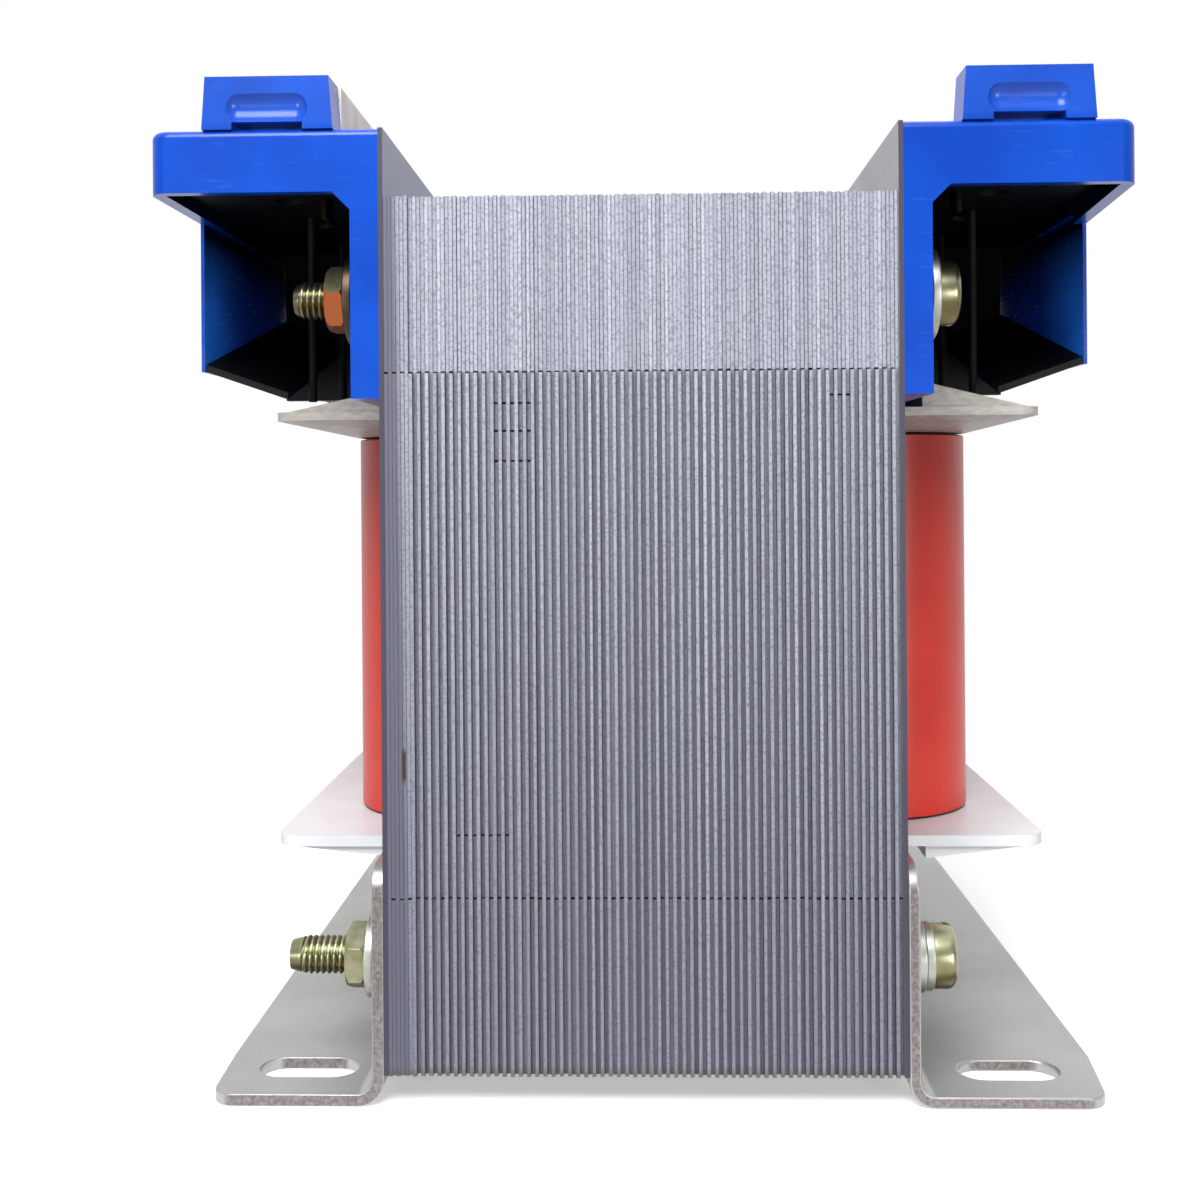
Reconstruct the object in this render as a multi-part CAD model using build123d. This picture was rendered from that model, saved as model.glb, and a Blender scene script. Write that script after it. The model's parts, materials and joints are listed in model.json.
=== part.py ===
from build123d import *
import os
from math import cos, pi, sin

# Control transformer, millimetres. X runs along the lamination stack, Y in depth, Z up.
# The origin is on the ground under the middle of the core.

# Core
core_width = 133.2
core_stack = 64.8
layer_count = 24
layer_step = 0.25
bolt_inset = 11.7
core_lift = 3.9

# End sheets
sheet_t = 0.6

# Bobbin and coil
coil_shift = 2.9
flange_shift = 2.0
tube_wall = 1.8
flange_reach_x = 54.1
lower_flange_t = 1.5
lower_flange_rise = 1.0
upper_flange_t = 1.2
upper_flange_drop = 2.0
flange_corner = 3.5
ramp_height = 3.6
ramp_tip_width = 2.0
ramp_inset = 0.6
lower_ramp_drop = 0.8
primary_build = 5.2
screen_t = 0.5
secondary_build = 4.9
wrap_t = 0.6
end_tightness = 0.84
corner_growth = 1.25

# Bolts and nuts
bolt_d = 5.0
bolt_length = 85.0
head_d = 8.5
head_h = 3.0
head_edge_r = 1.0
tip_chamfer = 0.6
driver_slot_w = 1.2
driver_slot_depth = 1.6
nut_flats = 8.0
nut_h = 2.7
nut_turn = 22.5

# Flat washers: outside diameter and thickness
large_washer = (12.0, 1.2)
plain_washer = (11.0, 1.2)
heavy_washer = (9.5, 2.2)

# Spring washers and sleeves
spring_washer_d = 9.0
spring_washer_t = 1.1
spring_gap = 0.8
sleeve_wall = 0.7

# Feet
foot_t = 1.5
right_foot_reach = 26.2
left_foot_reach = 22.6
foot_ear_top = 30.2
foot_middle_top = 22.0
foot_bend_r = 2.0
foot_corner_r = 3.0
foot_ear_r = 3.5
right_foot_taper = 1.6
left_foot_taper = 0.5
foot_taper_length = 14.0
slot_length = 13.0
slot_width = 6.5
right_slot_reach = 14.3
left_slot_reach = 11.4
slot_end_inset = 9.0

# Terminal bases
base_reach = 29.3
base_wall = 1.8
mouth_wall = 0.5
base_top_t = 2.4
base_skirt_h = 8.0
base_lift = 0.7
leg_t = 3.6
lug_drop = 25.5
lug_length = 21.0
corner_gusset = 2.3
box_inset = 23.0
box_drop = 20.3
base_edge_r = 1.0
base_corner_r = 2.5
brace_drop = 1.4

# End ridges and barriers on the bases
ridge_w = 16.7
ridge_h = 6.7
ridge_depth = 6.0
ridge_draft = 4.0
near_ridge_offset = 7.4
far_ridge_offset = 5.7
ridge_slot_w = 9.0
ridge_slot_h = 0.9
ridge_slot_depth = 4.0
scoop_w = 11.0
scoop_h = 3.6
scoop_depth = 0.9
scoop_end_r = 2.0
ways = 6
barrier_t = 2.0
barrier_h = 4.4
marker_t = 1.0

# Terminal inserts
insert_t = 3.8
partition_t = 2.0
floor_t = 1.0
floor_rise = 10.8
floor_dip = 4.0
floor_inner_reach = 17.0

# Terminals
terminal_l = 11.0
terminal_w = 9.0
terminal_t = 0.8
tail_w = 4.0
tail_drop = 9.0
clamp_side = 8.4
clamp_t = 1.0
screw_d = 4.0
screw_length = 6.5
screw_head_d = 8.0
screw_head_h = 2.6
screw_head_edge_r = 0.9

# Lead wires
lead_d = 1.2
lead_reach = 15.0
lead_spots = (1.8, 0.7)

# Packing strip
packing_width = 36.0

# Clearances
slide = 0.3
fit = 0.2
bolt_clear = 0.4

# Worked-out core sizes
tongue = core_width / 3
yoke = tongue / 2
core_height = 2.5 * tongue
core_top = core_lift + core_height
joint_z = core_top - yoke
window_low = core_lift + yoke
layer_t = core_stack / layer_count
stack_half = core_stack / 2
sheet_face = stack_half + sheet_t
core_half = core_width / 2
bolt_y = core_half - bolt_inset
low_bolt_z = core_lift + bolt_inset
high_bolt_z = core_top - bolt_inset
sleeve_d = bolt_d + 2 * fit + 2 * sleeve_wall
core_hole_d = sleeve_d + 2 * fit

# Worked-out bobbin sizes, about the shifted coil axis
hole_half_x = stack_half + slide + coil_shift
hole_half_y = tongue / 2 + slide
tube_half_x = hole_half_x + tube_wall
tube_half_y = hole_half_y + tube_wall
bobbin_low = window_low + slide
bobbin_high = joint_z - slide
flange_half_y = core_half - yoke - slide
lower_flange_low = bobbin_low + lower_flange_rise
upper_flange_top = bobbin_high - ramp_height
upper_flange_low = upper_flange_top - upper_flange_t
coil_low = lower_flange_low + lower_flange_t
coil_high = upper_flange_low - upper_flange_drop
coil_build = primary_build + screen_t + secondary_build + wrap_t

# Worked-out base sizes
base_under = core_top + base_lift
base_top = base_under + base_skirt_h
base_outer = sheet_face + base_reach
leg_face = sheet_face + leg_t
foot_face = sheet_face + foot_t
lug_low = core_top - lug_drop
box_low = core_top - box_drop
box_half = core_half - box_inset
wall_inner = base_outer - base_wall
insert_top = base_top - base_top_t
insert_low = insert_top - insert_t
row_half = core_half - ridge_depth
pitch = 2 * row_half / ways
row_x = sheet_face + (near_ridge_offset + far_ridge_offset) / 2 + ridge_w / 2
lead_x = sheet_face + lead_reach
lead_low = bobbin_high - ramp_height / 2
lead_top = insert_low + insert_t / 2


def block(x0, x1, y0, y1, z0, z1):
    """A box between two opposite corners."""
    size = (x1 - x0, y1 - y0, z1 - z0)
    return Pos(x0, y0, z0) * Box(*size, align=(Align.MIN, Align.MIN, Align.MIN))


def rod(diameter, x0, x1, y, z):
    """A round bar along X."""
    return Pos(x0, y, z) * Rot(0, 90, 0) * Cylinder(
        diameter / 2, x1 - x0, align=(Align.CENTER, Align.CENTER, Align.MIN)
    )


def pillar(diameter, x, y, z0, z1):
    """A round bar along Z."""
    return Pos(x, y, z0) * Cylinder(
        diameter / 2, z1 - z0, align=(Align.CENTER, Align.CENTER, Align.MIN)
    )


def slab(points, x0, x1):
    """An outline in Y and Z, pushed along X."""
    outline = make_face(Polyline([(x0, y, z) for y, z in points], close=True))
    return extrude(outline, amount=x1 - x0, dir=(1, 0, 0))


def profile(points, y0, y1):
    """An outline in X and Z, pushed along Y."""
    outline = make_face(Polyline([(x, y0, z) for x, z in points], close=True))
    return extrude(outline, amount=y1 - y0, dir=(0, 1, 0))


def rounded_column(half_x, half_y, radius, z0, z1):
    """An upright column with rounded corners about the coil axis."""
    outline = RectangleRounded(2 * half_x, 2 * half_y, radius)
    return Pos(coil_shift, 0, z0) * extrude(outline, amount=z1 - z0)


def coil_outline(build):
    """Half sizes and corner radius of the coil once its layers are this thick on its long sides."""
    half_x = tube_half_x + end_tightness * build
    return half_x, tube_half_y + build, tube_wall + corner_growth * build


def turned(shape):
    """The same part on the other side of the core, half a turn round."""
    return Rot(0, 0, 180) * shape


def lamination_holes():
    """Eight-sided clearance holes through the whole stack, one at each corner."""
    corners = [(y, z) for y in (-bolt_y, bolt_y) for z in (low_bolt_z, high_bolt_z)]
    radius = core_hole_d / 2 / cos(pi / 8)
    holes = []
    for y, z in corners:
        turns = [(k + 0.5) * pi / 4 for k in range(8)]
        points = [(y + radius * cos(t), z + radius * sin(t)) for t in turns]
        holes.append(slab(points, -stack_half, stack_half))
    return holes


def e_outline(half_width):
    """Half of an E, from the middle of its back round to the tongue, then mirrored."""
    inner = core_half - yoke
    right = [
        (half_width, core_lift),
        (half_width, joint_z),
        (inner, joint_z),
        (inner, window_low),
        (tongue / 2, window_low),
        (tongue / 2, joint_z),
    ]
    return right + [(-y, z) for y, z in reversed(right)]


def flipped(points):
    """An outline turned upside down within the core's height."""
    return [(y, core_lift + core_top - z) for y, z in points]


def core():
    """E and I layers, alternately upright and upside down; only the upright Es stand proud."""
    holes = lamination_holes()
    low_half = core_half - layer_step
    e_layers, i_layers = [], []
    for layer in range(layer_count):
        x0 = -stack_half + layer * layer_t
        upright = layer % 2 == 0
        e_points = e_outline(core_half if upright else low_half)
        i_points = [
            (-low_half, joint_z), (low_half, joint_z), (low_half, core_top), (-low_half, core_top),
        ]
        if not upright:
            e_points, i_points = flipped(e_points), flipped(i_points)
        e_layers.append(slab(e_points, x0, x0 + layer_t) - holes)
        i_layers.append(slab(i_points, x0, x0 + layer_t) - holes)
    return e_layers, i_layers


def end_sheet():
    """The thin frame between the right end of the stack and what is bolted on it."""
    sheet = block(stack_half, sheet_face, -core_half, core_half, core_lift, base_top)
    opening_half = core_half - yoke
    sheet -= block(stack_half, sheet_face, -opening_half, opening_half, window_low, joint_z)
    for y in (-bolt_y, bolt_y):
        for z in (low_bolt_z, high_bolt_z):
            sheet -= rod(core_hole_d, stack_half, sheet_face, y, z)
    return sheet


def flange_outline(z):
    outline = RectangleRounded(2 * flange_reach_x, 2 * flange_half_y, flange_corner)
    return Pos(flange_shift, 0, z) * outline


def flange(z0, z1):
    return extrude(flange_outline(z0), amount=z1 - z0)


def sloped_underside():
    """The upper flange grows thicker from its rim to the coil under it."""
    half_x, half_y, radius = coil_outline(coil_build)
    low = Pos(coil_shift, 0, coil_high) * RectangleRounded(2 * half_x, 2 * half_y, radius)
    return loft([low, flange_outline(upper_flange_low)], ruled=True)


def ramp(side, root_z, tip_z):
    """A wedge on a flange that thins from the tube out to the tip, on one side of the stack."""
    root = coil_shift + side * (tube_half_x - tube_wall / 2)
    tip = flange_shift + side * (flange_reach_x - ramp_tip_width)
    points = [(root, tip_z), (tip, tip_z), (root, root_z)]
    reach = flange_half_y - ramp_inset
    return profile(points, -reach, reach)


def bobbin():
    """Tube round the tongue with two flanges that thicken towards the tube outside the stack."""
    body = rounded_column(tube_half_x, tube_half_y, tube_wall, bobbin_low, bobbin_high)
    body += flange(lower_flange_low, coil_low)
    body += flange(upper_flange_low, upper_flange_top) + sloped_underside()
    for side in (-1, 1):
        body += ramp(side, bobbin_high, upper_flange_top)
        body += ramp(side, bobbin_low - lower_ramp_drop, lower_flange_low)
    hole = block(-hole_half_x, hole_half_x, -hole_half_y, hole_half_y, core_lift, core_top)
    return body - Pos(coil_shift, 0, 0) * hole


def coil_layers():
    """Primary, screen, secondary and outer wrap, one inside the next."""
    builds = {
        "primary_winding": primary_build,
        "winding_screen": screen_t,
        "secondary_winding": secondary_build,
        "coil_wrap": wrap_t,
    }
    layers = {}
    inner = 0.0
    z0, z1 = coil_low + slide, coil_high - slide
    for name, build in builds.items():
        outer = inner + build
        shell = rounded_column(*coil_outline(outer), z0, z1)
        layers[name] = shell - rounded_column(*coil_outline(inner), z0, z1)
        inner = outer
    return layers


def packing_strip():
    """Fills the gap that the shifted coil leaves beside the stack."""
    gap_end = coil_shift + hole_half_x
    half = packing_width / 2
    return block(stack_half, gap_end - fit, -half, half, bobbin_low, bobbin_high)


def foot(reach, slot_reach, taper):
    """Right foot: a folded angle with end ears, tapered corners, bolt holes and two slots."""
    x0, x1 = sheet_face, sheet_face + reach
    outline = [
        (x0, 0), (x1, 0), (x1, foot_t),
        (x0 + foot_t, foot_t), (x0 + foot_t, foot_ear_top), (x0, foot_ear_top),
    ]
    body = profile(outline, -core_half, core_half)
    inner_bend = body.edges().filter_by(Axis.Y).group_by(Axis.Z)[1].sort_by(Axis.X)[0]
    body = fillet(inner_bend, foot_bend_r)
    outer_bend = body.edges().filter_by(Axis.Y).group_by(Axis.Z)[0].sort_by(Axis.X)[0]
    body = fillet(outer_bend, foot_bend_r + foot_t)
    ear_half = core_half - yoke + slide
    body -= block(x0, x0 + foot_t, -ear_half, ear_half, foot_middle_top, foot_ear_top)
    ear_ends = body.edges().filter_by(Axis.X).group_by(Axis.Z)[-1].sort_by(Axis.Y)
    body = fillet([ear_ends[0], ear_ends[-1]], foot_ear_r)
    slot = extrude(SlotOverall(slot_length, slot_width), amount=foot_t)
    for side in (-1, 1):
        body -= Pos(x0 + slot_reach, side * (core_half - slot_end_inset), 0) * slot
        body -= rod(bolt_d + 2 * bolt_clear, x0, x0 + foot_t, side * bolt_y, low_bolt_z)
        body -= foot_corner(x1, side, taper)
    near_corners = body.edges().filter_by(Axis.Z).filter_by_position(
        Axis.X, x1 - taper - fit, x1 - taper + fit
    )
    return fillet(near_corners, foot_corner_r)


def foot_corner(x1, side, taper):
    """The sliver that tapers a foot's plate towards its end."""
    end = side * core_half
    outline = make_face(Polyline(
        [(x1 - taper, end, 0), (x1, end, 0), (x1, end - side * foot_taper_length, 0)],
        close=True,
    ))
    return extrude(outline, amount=foot_t, dir=(0, 0, 1))


def ridge(offset, end):
    """An end stop on the base, drafted, with a slot and a round hollow over it in its outer face."""
    x0 = sheet_face + offset
    lean = ridge_h * sin(ridge_draft * pi / 180)
    inner_face = end * (core_half - ridge_depth)
    outline = [
        (x0, base_top), (x0 + ridge_w, base_top),
        (x0 + ridge_w - lean, base_top + ridge_h), (x0 + lean, base_top + ridge_h),
    ]
    body = profile(outline, *sorted((inner_face, end * core_half)))
    middle = x0 + ridge_w / 2
    near, far = sorted((end * (core_half - ridge_slot_depth), end * core_half))
    half = ridge_slot_w / 2
    slot_top = base_top + ridge_slot_h
    body -= block(middle - half, middle + half, near, far, base_top, slot_top)
    scoop_r = (scoop_h ** 2 / 4 + scoop_depth ** 2) / (2 * scoop_depth)
    scoop = rod(
        2 * scoop_r, middle - scoop_w / 2, middle + scoop_w / 2,
        end * (core_half + scoop_r - scoop_depth), slot_top + scoop_h / 2,
    )
    return body - fillet(scoop.edges().filter_by(GeomType.CIRCLE), scoop_end_r)


def terminal_y():
    return [-row_half + pitch * (way + 0.5) for way in range(ways)]


def box_wall():
    """Outer wall of the hanging box, drawn thinner from its middle towards both open ends."""
    edge = base_outer - mouth_wall
    points = [
        (base_outer, -box_half), (base_outer, box_half),
        (edge, box_half), (wall_inner, 0), (edge, -box_half),
    ]
    outline = make_face(Polyline([(x, y, box_low) for x, y in points], close=True))
    return extrude(outline, amount=base_under - box_low, dir=(0, 0, 1))


def base_shell():
    """Blue moulding: a skirted top on a back plate, with an open box hanging in the middle."""
    y0, y1 = -core_half, core_half
    body = block(sheet_face, base_outer, y0, y1, base_under, base_top)
    body -= block(leg_face, wall_inner, y0 + base_wall, y1 - base_wall, base_under, insert_top)
    back_low = joint_z + slide
    body += block(sheet_face, leg_face, y0, y1, back_low, base_under)
    for end in (-1, 1):
        ends = sorted((end * (core_half - lug_length), end * core_half))
        body += block(sheet_face, leg_face, *ends, lug_low, back_low)
        gusset = [
            (leg_face, base_under - corner_gusset),
            (leg_face + corner_gusset, base_under),
            (leg_face, base_under),
        ]
        body += profile(gusset, *sorted((end * (core_half - base_wall), end * core_half)))
    body += box_wall()
    brace = [
        (-box_half, base_under),
        (y0 + base_corner_r, base_under),
        (-box_half, base_under - brace_drop),
    ]
    body += slab(brace, wall_inner, base_outer)
    plan_corners = body.edges().filter_by(Axis.Z).group_by(Axis.X)[-1].sort_by(Axis.Y)
    body = fillet([plan_corners[0], plan_corners[-1]], base_corner_r)
    outer_edges = body.edges().filter_by(Axis.Y).group_by(Axis.Z)[-1].sort_by(Axis.X)
    return fillet(outer_edges[-1], base_edge_r)


def terminal_base():
    """Right terminal base with its end ridges, barriers and terminal holes."""
    body = base_shell()
    body += ridge(near_ridge_offset, -1)
    body += ridge(far_ridge_offset, 1)
    bar_x0 = sheet_face + far_ridge_offset + marker_t + fit
    bar_x1 = sheet_face + near_ridge_offset + ridge_w
    for way in range(1, ways):
        middle = -row_half + pitch * way
        near, far = middle - barrier_t / 2, middle + barrier_t / 2
        body += block(bar_x0, bar_x1, near, far, base_top, base_top + barrier_h)
    for y in terminal_y():
        body -= terminal_passages(y)
    for y in (-bolt_y, bolt_y):
        body -= rod(bolt_d + 2 * bolt_clear, sheet_face, leg_face, y, high_bolt_z)
    return body


def terminal_passages(y):
    """Room for one terminal's screw and tail below the top of the base."""
    hole = pillar(screw_d + 2 * fit, row_x, y, insert_low, base_top)
    x0 = row_x - terminal_l / 2
    half = tail_w / 2 + fit
    slot = block(x0 - fit, x0 + terminal_t + fit, y - half, y + half, insert_low, base_top)
    return [hole, slot]


def lead_places():
    """Where the winding ends stand, in X and Y, between the terminal screws."""
    return [(lead_x, side * spot * pitch) for spot in lead_spots for side in (-1, 1)]


def floor(end):
    """A sloped floor from the box's open end up to the middle partition."""
    inner_x = sheet_face + floor_inner_reach
    mouth = (end * box_half, base_outer - mouth_wall - fit, 0)
    middle = (0, wall_inner - fit, floor_rise)
    faces = []
    for y, outer_x, lift in (mouth, middle):
        z = box_low + lift
        points = [
            (outer_x, y, z), (outer_x, y, z + floor_t),
            (inner_x, y, z + floor_t - floor_dip), (inner_x, y, z - floor_dip),
        ]
        faces.append(make_face(Polyline(points, close=True)))
    return loft(faces, ruled=True)


def terminal_insert():
    """Black moulding under the top: carrier plate, middle partition and two sloped floors."""
    x0, x1 = leg_face + fit, wall_inner - fit
    reach = core_half - base_wall - fit
    body = block(x0, x1, -reach, reach, insert_low, insert_top)
    partition_low = bobbin_high + slide
    half = partition_t / 2
    body += block(x0, x1, -half, half, partition_low, insert_low)
    body += floor(-1)
    body += floor(1)
    for y in terminal_y():
        body -= terminal_passages(y)
    for x, y in lead_places():
        body -= pillar(lead_d + 2 * fit, x, y, insert_low, lead_top + fit)
    return body


def terminal_plates():
    """Bent tabs that lie on the base under each screw, with a tail down to the windings."""
    top = base_top + terminal_t
    x0 = row_x - terminal_l / 2
    tabs = []
    for y in terminal_y():
        tab = block(x0, x0 + terminal_l, y - terminal_w / 2, y + terminal_w / 2, base_top, top)
        tail_low = base_top - tail_drop
        tab += block(x0, x0 + terminal_t, y - tail_w / 2, y + tail_w / 2, tail_low, base_top)
        tabs.append(tab - pillar(screw_d + 2 * fit, row_x, y, base_top, top))
    return tabs


def clamp_washers():
    z0 = base_top + terminal_t
    z1 = z0 + clamp_t
    half = clamp_side / 2
    return [
        block(row_x - half, row_x + half, y - half, y + half, z0, z1)
        - pillar(screw_d + 2 * fit, row_x, y, z0, z1)
        for y in terminal_y()
    ]


def terminal_screws():
    seat = base_top + terminal_t + clamp_t
    head_top = seat + screw_head_h
    screws = []
    for y in terminal_y():
        head = pillar(screw_head_d, row_x, y, seat, head_top)
        head = fillet(head.edges().group_by(Axis.Z)[-1], screw_head_edge_r)
        groove = Box(screw_head_d, driver_slot_w, driver_slot_depth)
        head -= Pos(row_x, y, head_top) * groove
        screws.append(head + pillar(screw_d, row_x, y, seat - screw_length, seat))
    return screws


def lead_wires():
    """Sleeved winding ends that stand between the upper flange and the insert."""
    return [pillar(lead_d, x, y, lead_low, lead_top) for x, y in lead_places()]


def bolt(y, z, seat):
    """Slotted cheese-head bolt along X, its head outside the seat on the right."""
    head = rod(head_d, seat, seat + head_h, y, z)
    head = fillet(head.edges().sort_by(Axis.X)[-1], head_edge_r)
    groove_x0 = seat + head_h - driver_slot_depth
    half = driver_slot_w / 2
    head -= block(groove_x0, seat + head_h, y - half, y + half, z - head_d / 2, z + head_d / 2)
    shank = rod(bolt_d, seat - bolt_length, seat, y, z)
    shank = chamfer(shank.edges().sort_by(Axis.X)[0], tip_chamfer)
    return head + shank


def ring(outer_d, x0, x1, y, z):
    return rod(outer_d, x0, x1, y, z) - rod(bolt_d + 2 * fit, x0, x1, y, z)


def split_ring(x0, x1, y, z):
    """A spring washer, cut through at the top."""
    half = spring_gap / 2
    cut = block(x0, x1, y - half, y + half, z, z + spring_washer_d)
    return ring(spring_washer_d, x0, x1, y, z) - cut


def nut(x0, x1, y, z):
    outline = RegularPolygon(nut_flats / 2, 6, major_radius=False, rotation=nut_turn)
    body = Pos(x0, y, z) * Rot(0, 90, 0) * extrude(outline, amount=x1 - x0)
    return body - rod(bolt_d + 2 * fit, x0, x1, y, z)


def fastener_row(seat_x, z, head_washer, nut_washer, spring_under_head):
    """Bolts, nuts and washers at one height; elsewhere the flat washer is the outer one."""
    row = {"bolts": [], "nuts": [], "flat_washers": [], "spring_washers": []}
    sides = ((1, head_washer, spring_under_head), (-1, nut_washer, False))
    for y in (-bolt_y, bolt_y):
        for side, (washer_d, washer_t), spring_outside in sides:
            step = seat_x + (washer_t if spring_outside else spring_washer_t)
            face = seat_x + washer_t + spring_washer_t
            spans = [sorted((side * seat_x, side * step)), sorted((side * step, side * face))]
            flat, spring = spans if spring_outside else reversed(spans)
            row["flat_washers"].append(ring(washer_d, *flat, y, z))
            row["spring_washers"].append(split_ring(*spring, y, z))
            if side > 0:
                row["bolts"].append(bolt(y, z, face))
            else:
                row["nuts"].append(nut(-face - nut_h, -face, y, z))
    return row


def bolt_sleeves():
    tubes = []
    for y in (-bolt_y, bolt_y):
        for z in (low_bolt_z, high_bolt_z):
            tubes.append(ring(sleeve_d, -stack_half, stack_half, y, z))
    return tubes


def marker_strip():
    """Upright strip along the inner side of the left base's terminal row."""
    x0 = sheet_face + far_ridge_offset
    strip = block(x0, x0 + marker_t, -row_half, row_half, base_top, base_top + ridge_h)
    return turned(strip)


def save(name, shapes):
    group = shapes if isinstance(shapes, list) else [shapes]
    solids = [solid for shape in group for solid in shape.solids()]
    export_step(Compound(children=solids), f"parts/{name}.step")


def both_sides(name, shape):
    """Writes a part and its copy half a turn round."""
    group = shape if isinstance(shape, list) else [shape]
    save(f"right_{name}", group)
    save(f"left_{name}", [turned(piece) for piece in group])


os.makedirs("parts", exist_ok=True)
e_layers, i_layers = core()
save("e_laminations", e_layers)
save("i_laminations", i_layers)
save("bobbin", bobbin())
save("packing_strip", packing_strip())
for layer_name, layer in coil_layers().items():
    save(layer_name, layer)
both_sides("end_sheet", end_sheet())
save("right_foot", foot(right_foot_reach, right_slot_reach, right_foot_taper))
save("left_foot", turned(foot(left_foot_reach, left_slot_reach, left_foot_taper)))
both_sides("terminal_base", terminal_base())
both_sides("terminal_insert", terminal_insert())
both_sides("terminal_plates", terminal_plates())
both_sides("clamp_washers", clamp_washers())
both_sides("terminal_screws", terminal_screws())
both_sides("lead_wires", lead_wires())
save("left_marker_strip", marker_strip())
save("bolt_sleeves", bolt_sleeves())
rows = {
    "upper": fastener_row(leg_face, high_bolt_z, large_washer, large_washer, False),
    "lower": fastener_row(foot_face, low_bolt_z, heavy_washer, plain_washer, True),
}
for level, row in rows.items():
    for kind, pieces in row.items():
        save(f"{level}_{kind}", pieces)
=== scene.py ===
# Looks of the control transformer: its finishes, the forms that are finer than the solids,
# and the floor, lamps and camera round them

import json
import math
import random

import bmesh
import bpy
from mathutils import Euler, Matrix, Vector


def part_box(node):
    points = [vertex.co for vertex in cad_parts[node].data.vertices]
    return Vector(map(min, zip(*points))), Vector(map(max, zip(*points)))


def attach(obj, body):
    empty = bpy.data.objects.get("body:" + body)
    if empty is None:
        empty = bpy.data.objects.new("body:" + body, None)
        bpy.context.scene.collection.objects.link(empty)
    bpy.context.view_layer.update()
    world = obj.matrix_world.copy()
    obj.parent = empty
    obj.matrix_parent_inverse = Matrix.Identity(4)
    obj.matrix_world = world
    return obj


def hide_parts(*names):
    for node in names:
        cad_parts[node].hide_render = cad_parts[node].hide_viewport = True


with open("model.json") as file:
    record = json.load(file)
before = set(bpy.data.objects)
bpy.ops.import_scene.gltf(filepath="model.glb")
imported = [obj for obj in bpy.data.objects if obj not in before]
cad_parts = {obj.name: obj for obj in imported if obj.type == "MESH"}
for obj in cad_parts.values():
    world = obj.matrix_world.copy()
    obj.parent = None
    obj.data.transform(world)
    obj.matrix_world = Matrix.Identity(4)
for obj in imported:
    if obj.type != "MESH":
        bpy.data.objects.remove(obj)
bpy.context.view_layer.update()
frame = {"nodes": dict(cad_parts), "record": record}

MM = 0.001

# Camera, fitted to the corners of the core, the bases and the feet
IMAGE_SIDE = 1200
FOCAL_PX = 1512.8
HORIZON_PX = 479.2
SENSOR = 36
CAMERA_PLACE = (0.3 * MM, -256.6 * MM, 79.0 * MM)
CAMERA_YAW = 1.655
CAMERA_ROLL = 0.417

# Core, from the frame: every lamination is drawn, where the solids have thicker layers
core_low, core_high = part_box("e_laminations")
CORE_HALF = core_high.y
YOKE = CORE_HALF / 3
JOINT = core_high.z - YOKE
SHEETS = 126
PITCH = (core_high.x - core_low.x) / SHEETS
SHEET_T = 0.96 * PITCH
RECESS = 0.6 * MM
JOINT_GAP = 0.25 * MM
FLUSH_SHEETS = 6
BOLT_INSET = 11.7 * MM
BOLT_Y = CORE_HALF - BOLT_INSET
BOLT_LEVELS = (core_low.z + BOLT_INSET, core_high.z - BOLT_INSET)
BOLT_HOLE_R = 3.6 * MM
HOLE_SIDES = 8

# How unevenly the sheets lie, in millimetres: back from the edge, sideways, and down
UNEVEN_EDGE = (0.06, 0.14)
UNEVEN_SLIP = (-0.06, 0.06)
UNEVEN_LIFT = (-0.1, 0.0)

# M5 bolts with slotted heads and thin nuts. Each turn of thread has several rows of points,
# and its flanks are steep enough to leave a flat crest
BOLT_R = 2.5 * MM
HEAD_R = 4.25 * MM
HEAD_H = 3.0 * MM
HEAD_ROUND = 1.0 * MM
HEAD_SIDES = 48
SHANK_SIDES = 32
DRIVER_SLOT = 1.2 * MM
DRIVER_DEPTH = 1.4 * MM
THREAD_PITCH = 0.8 * MM
THREAD_DEPTH = 0.36 * MM
THREAD_CREST = 1.3
THREAD_TURNS = 20
THREAD_ROWS = 8
THREAD_SIDES = 28
TIP_R = 1.95 * MM
TIP_TAPER = {"upper": 1.2 * MM, "lower": 2.3 * MM}
NUT_FLATS = 8 * MM
NUT_TURN = {"upper": -7.5, "lower": -25}
NUT_CHAMFER = 0.55 * MM

# Where the end ridges start to rise from the terminal bases
RIDGE_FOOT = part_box("left_marker_strip")[0].z

# Joints of a few sheets that sit lower than the rest, as the photograph shows them:
# where each group starts and ends along the stack, and its height
STRAY_JOINTS = (
    (-19.2 * MM, -14.2 * MM, 88.7 * MM),
    (-19.2 * MM, -14.2 * MM, 85.2 * MM),
    (-19.2 * MM, -14.2 * MM, 81.4 * MM),
    (23.2 * MM, 26.0 * MM, 89.4 * MM),
    (-23.9 * MM, -16.8 * MM, 34.1 * MM),
)
# The near legs reach from three yokes off the middle in to two, and the cuts nearly as far
STRAY_END = -2.1 * YOKE

# Rust seen on the core
RUST_X = -30.2 * MM
RUST_LOW = 40.5 * MM
RUST_HIGH = 45.5 * MM

# Heights over which painted shade comes in: the hanging walls turn dark under the top, the tape
# turns brown-dark towards the upper flange
WALL_PAINTED_SHADE = (104 * MM, 114 * MM)
TAPE_PAINTED_SHADE = (50 * MM, 86 * MM)

# How edges are found and rounded, in metres and degrees
MERGE = 0.002 * MM
ON_PLANE = 0.01 * MM
FLAT_ANGLE = 1.5
EDGE_ANGLE = 32
SMOOTH_ANGLE = 35

# Winding wire, and how far apart the bands of a wave texture of scale 1 lie
WIRE_PITCH = 0.8 * MM
WAVE_BAND = 0.31

# Floor, in metres: its side, how far it lies under the feet, and where its shadow fades out
FLOOR_SIDE = 8
FLOOR_DROP = 0.05 * MM
SHADOW_FADE = (0.07, 0.125)

# Room: the way in which it is brightest, and the share of it that lights no matt surface
BRIGHT_WAY = (0.0, 0.8, 0.6)
MATT_LOSS = 0.45

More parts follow.
